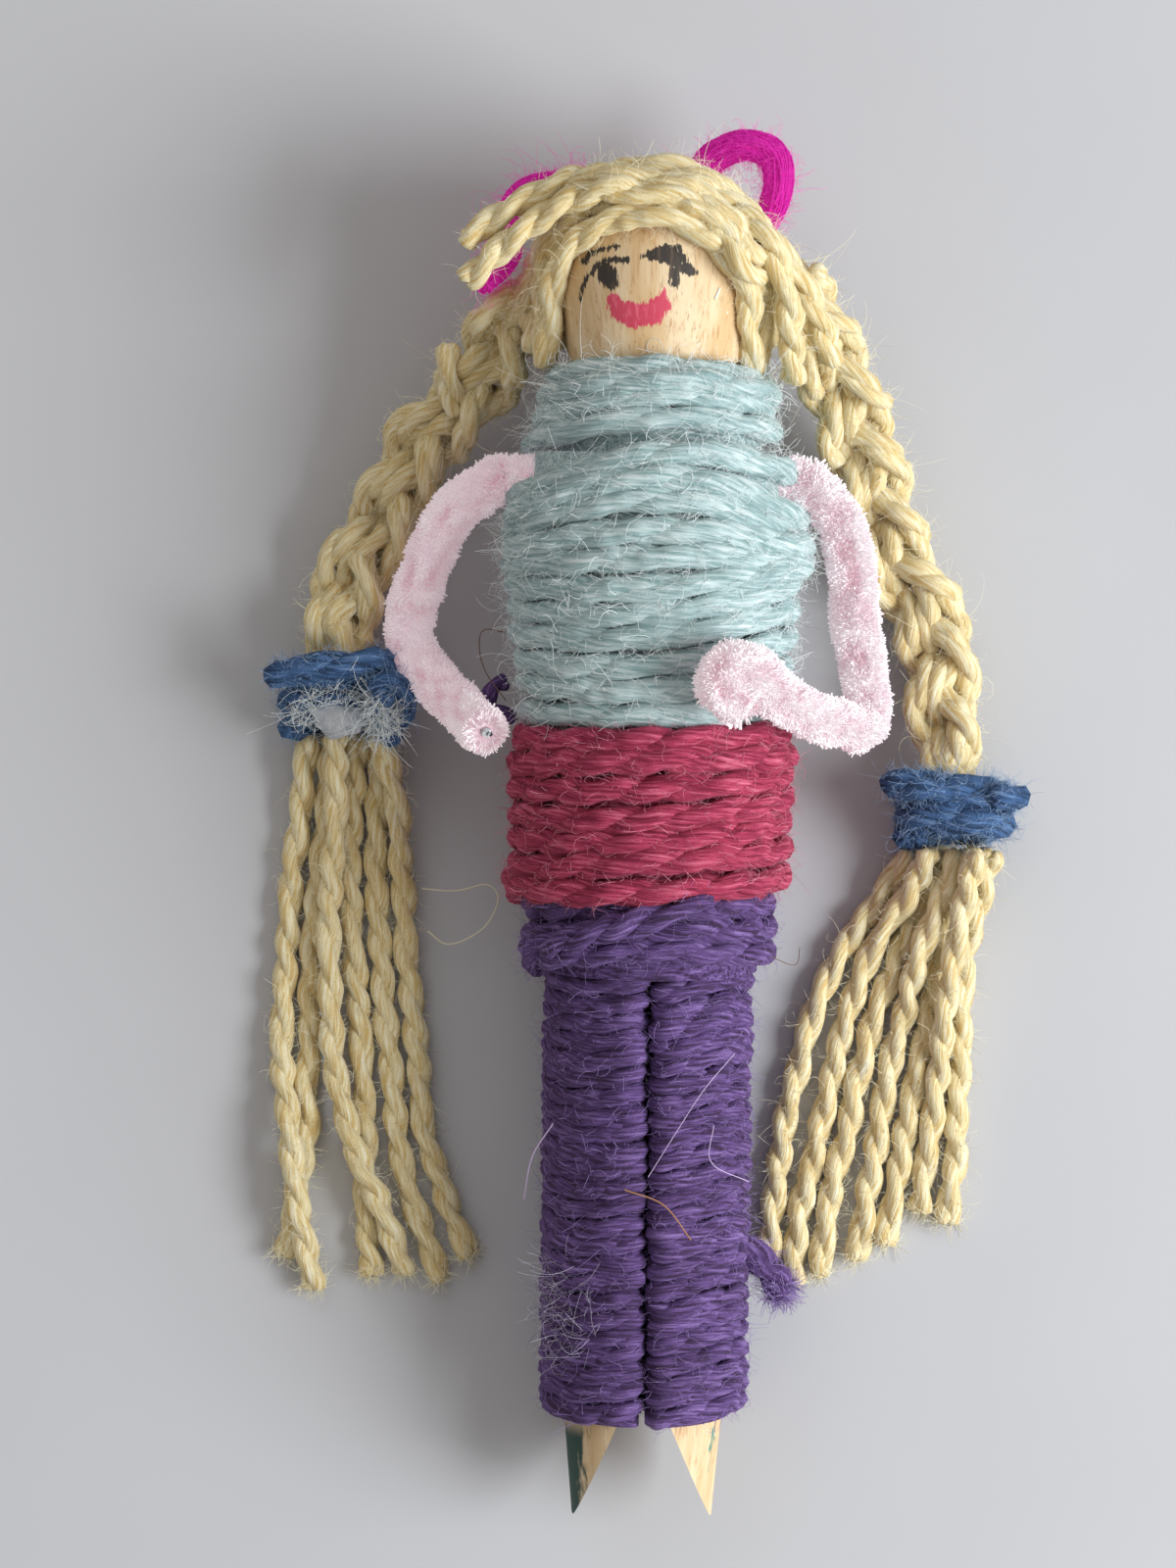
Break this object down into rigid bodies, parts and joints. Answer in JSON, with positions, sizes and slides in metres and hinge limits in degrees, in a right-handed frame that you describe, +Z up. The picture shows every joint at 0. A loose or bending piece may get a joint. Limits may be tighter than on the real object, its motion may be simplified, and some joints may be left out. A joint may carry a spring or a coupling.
{
  "type": "peg doll",
  "caption": "Doll made from a slotted round-head wooden peg, with wound yarn clothes, bendable chenille arms and two yarn braids, lying on its back.",
  "frame": {"origin": "centre of the footprint, on the surface the doll lies on", "axes": "+Y towards the head, along the peg, +Z up off the surface, the way the face looks, +X to the right of the face as seen from above"},
  "size_m": [0.0622, 0.1122, 0.0285],
  "materials": {
    "wood": "bare, unfinished",
    "aqua_yarn": "soft twisted yarn",
    "raspberry_yarn": "soft twisted yarn",
    "purple_yarn": "fine twisted yarn",
    "pink_pile": "short pile",
    "steel_wire": "bare twisted wire",
    "hair_yarn": "soft two-ply yarn",
    "blue_yarn": "fuzzy yarn",
    "magenta_roving": "loose roving",
    "dried_glue": "dried, cloudy"
  },
  "bodies": {
    "doll": {"wooden_peg": "wood", "shirt_yarn": "aqua_yarn", "belt_yarn": "raspberry_yarn", "hip_yarn": "purple_yarn", "left_leg_yarn": "purple_yarn", "right_leg_yarn": "purple_yarn", "chest_stem_pile": "pink_pile", "chest_stem_wire": "steel_wire", "hair_strand_1": "hair_yarn", "hair_strand_2": "hair_yarn", "hair_strand_3": "hair_yarn", "hair_strand_4": "hair_yarn", "hair_strand_5": "hair_yarn", "hair_strand_6": "hair_yarn", "hair_strand_7": "hair_yarn", "left_fringe_upper": "hair_yarn", "left_fringe_lower": "hair_yarn", "right_side_inner": "hair_yarn", "right_side_outer": "hair_yarn", "left_bow": "magenta_roving", "right_bow": "magenta_roving", "leg_yarn_end": "purple_yarn", "waist_yarn_loop": "purple_yarn"},
    "left_upper_arm": {"left_upper_arm_pile": "pink_pile", "left_upper_arm_wire": "steel_wire"},
    "left_forearm": {"left_forearm_pile": "pink_pile", "left_forearm_wire": "steel_wire"},
    "right_upper_arm": {"right_upper_arm_pile": "pink_pile", "right_upper_arm_wire": "steel_wire"},
    "right_forearm": {"right_forearm_pile": "pink_pile", "right_forearm_wire": "steel_wire"},
    "left_braid": {"left_braid_bundle_1": "hair_yarn", "left_braid_bundle_2": "hair_yarn", "left_braid_bundle_3": "hair_yarn", "left_tie": "blue_yarn", "left_tie_glue": "dried_glue", "left_tassel_strand_1": "hair_yarn", "left_tassel_strand_2": "hair_yarn", "left_tassel_strand_3": "hair_yarn", "left_tassel_strand_4": "hair_yarn", "left_tassel_strand_5": "hair_yarn", "left_tassel_strand_6": "hair_yarn"},
    "right_braid": {"right_braid_bundle_1": "hair_yarn", "right_braid_bundle_2": "hair_yarn", "right_braid_bundle_3": "hair_yarn", "right_tie": "blue_yarn", "right_tassel_strand_1": "hair_yarn", "right_tassel_strand_2": "hair_yarn", "right_tassel_strand_3": "hair_yarn", "right_tassel_strand_4": "hair_yarn", "right_tassel_strand_5": "hair_yarn", "right_tassel_strand_6": "hair_yarn", "right_tassel_strand_7": "hair_yarn"}
  },
  "joints": [
    {"name": "left_shoulder", "type": "hinge", "parent": "doll", "child": "left_upper_arm", "pos_m": [-0.01108, 0.02846, 0.01376], "axis": [-1, 0, 0], "range_deg": [0, 130]},
    {"name": "left_elbow", "type": "hinge", "parent": "left_upper_arm", "child": "left_forearm", "pos_m": [-0.0192, 0.0159, 0.0058], "axis": [0.8484, 0.02, -0.529], "range_deg": [-18, 7]},
    {"name": "right_shoulder", "type": "hinge", "parent": "doll", "child": "right_upper_arm", "pos_m": [0.01311, 0.02817, 0.01376], "axis": [-1, 0, 0], "range_deg": [0, 95]},
    {"name": "right_elbow", "type": "hinge", "parent": "right_upper_arm", "child": "right_forearm", "pos_m": [0.0181, 0.0089, 0.0118], "axis": [0.7001, 0, 0.7141], "range_deg": [0, 85]},
    {"name": "left_braid_swing", "type": "hinge", "parent": "doll", "child": "left_braid", "pos_m": [-0.0104, 0.0416, 0.0114], "axis": [0, 0, -1], "range_deg": [0, 60]},
    {"name": "right_braid_swing", "type": "hinge", "parent": "doll", "child": "right_braid", "pos_m": [0.0126, 0.0434, 0.0124], "axis": [0, 0, 1], "range_deg": [0, 60]}
  ]
}
